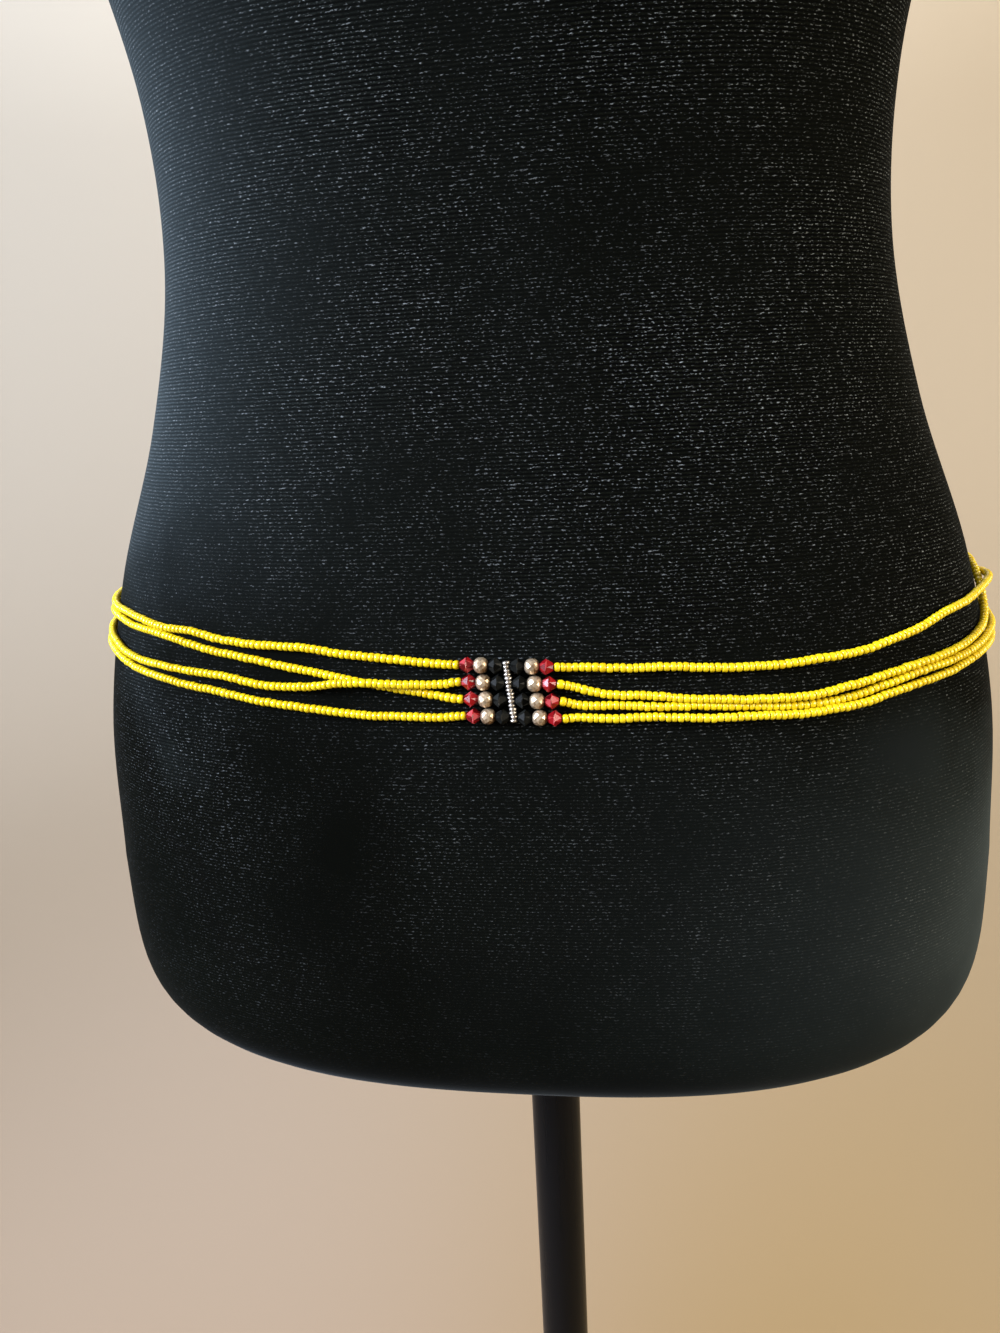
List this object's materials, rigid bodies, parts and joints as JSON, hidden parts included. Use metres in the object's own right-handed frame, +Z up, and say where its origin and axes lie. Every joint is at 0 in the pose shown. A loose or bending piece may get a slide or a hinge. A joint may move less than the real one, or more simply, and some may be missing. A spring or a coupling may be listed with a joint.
{
  "type": "beaded waist chain on dress form",
  "caption": "Waist chain of yellow seed bead strands with rows of crystals at a silver column, resting round the hip of a limbless black dress form on a pole and round base.",
  "frame": {"origin": "on the floor under the middle of the round base, on the axis of the pole", "axes": "+Z up along the pole, the front of the form faces -Y, +X is to the right of someone who looks at the front"},
  "size_m": [0.38, 0.33, 1.47],
  "materials": {
    "black_velvet": "black stretch velvet with fine level ribs and a soft sheen",
    "black_enamel": "black enamel, satin",
    "black_steel": "black enamel on steel tube, glossy",
    "yellow_seed_beads": "opaque yellow glass seed beads, glossy",
    "red_glass": "faceted translucent red glass",
    "champagne_glass": "faceted glass with a half mirrored champagne coat",
    "jet_glass": "faceted opaque black glass, glossy",
    "silver_metal": "polished silver-coloured metal"
  },
  "bodies": {
    "root": {"form_torso": "black_velvet", "form_neck_cap": "black_enamel", "form_pole": "black_steel", "form_base": "black_enamel", "strand_1_left": "yellow_seed_beads", "strand_1_right": "yellow_seed_beads", "strand_2_left": "yellow_seed_beads", "strand_2_right": "yellow_seed_beads", "strand_3_left": "yellow_seed_beads", "strand_3_right": "yellow_seed_beads", "strand_4_left": "yellow_seed_beads", "strand_4_right": "yellow_seed_beads", "red_bicone_1_left": "red_glass", "champagne_bead_1_left": "champagne_glass", "jet_bicone_1_left": "jet_glass", "red_bicone_1_right": "red_glass", "champagne_bead_1_right": "champagne_glass", "jet_bicone_1_right": "jet_glass", "red_bicone_2_left": "red_glass", "champagne_bead_2_left": "champagne_glass", "jet_bicone_2_left": "jet_glass", "red_bicone_2_right": "red_glass", "champagne_bead_2_right": "champagne_glass", "jet_bicone_2_right": "jet_glass", "red_bicone_3_left": "red_glass", "champagne_bead_3_left": "champagne_glass", "jet_bicone_3_left": "jet_glass", "red_bicone_3_right": "red_glass", "champagne_bead_3_right": "champagne_glass", "jet_bicone_3_right": "jet_glass", "red_bicone_4_left": "red_glass", "champagne_bead_4_left": "champagne_glass", "jet_bicone_4_left": "jet_glass", "red_bicone_4_right": "red_glass", "champagne_bead_4_right": "champagne_glass", "jet_bicone_4_right": "jet_glass", "silver_column": "silver_metal", "end_bar_left": "silver_metal", "end_bar_right": "silver_metal", "clasp_socket_half": "silver_metal", "clasp_screw_half": "silver_metal"}
  },
  "joints": []
}
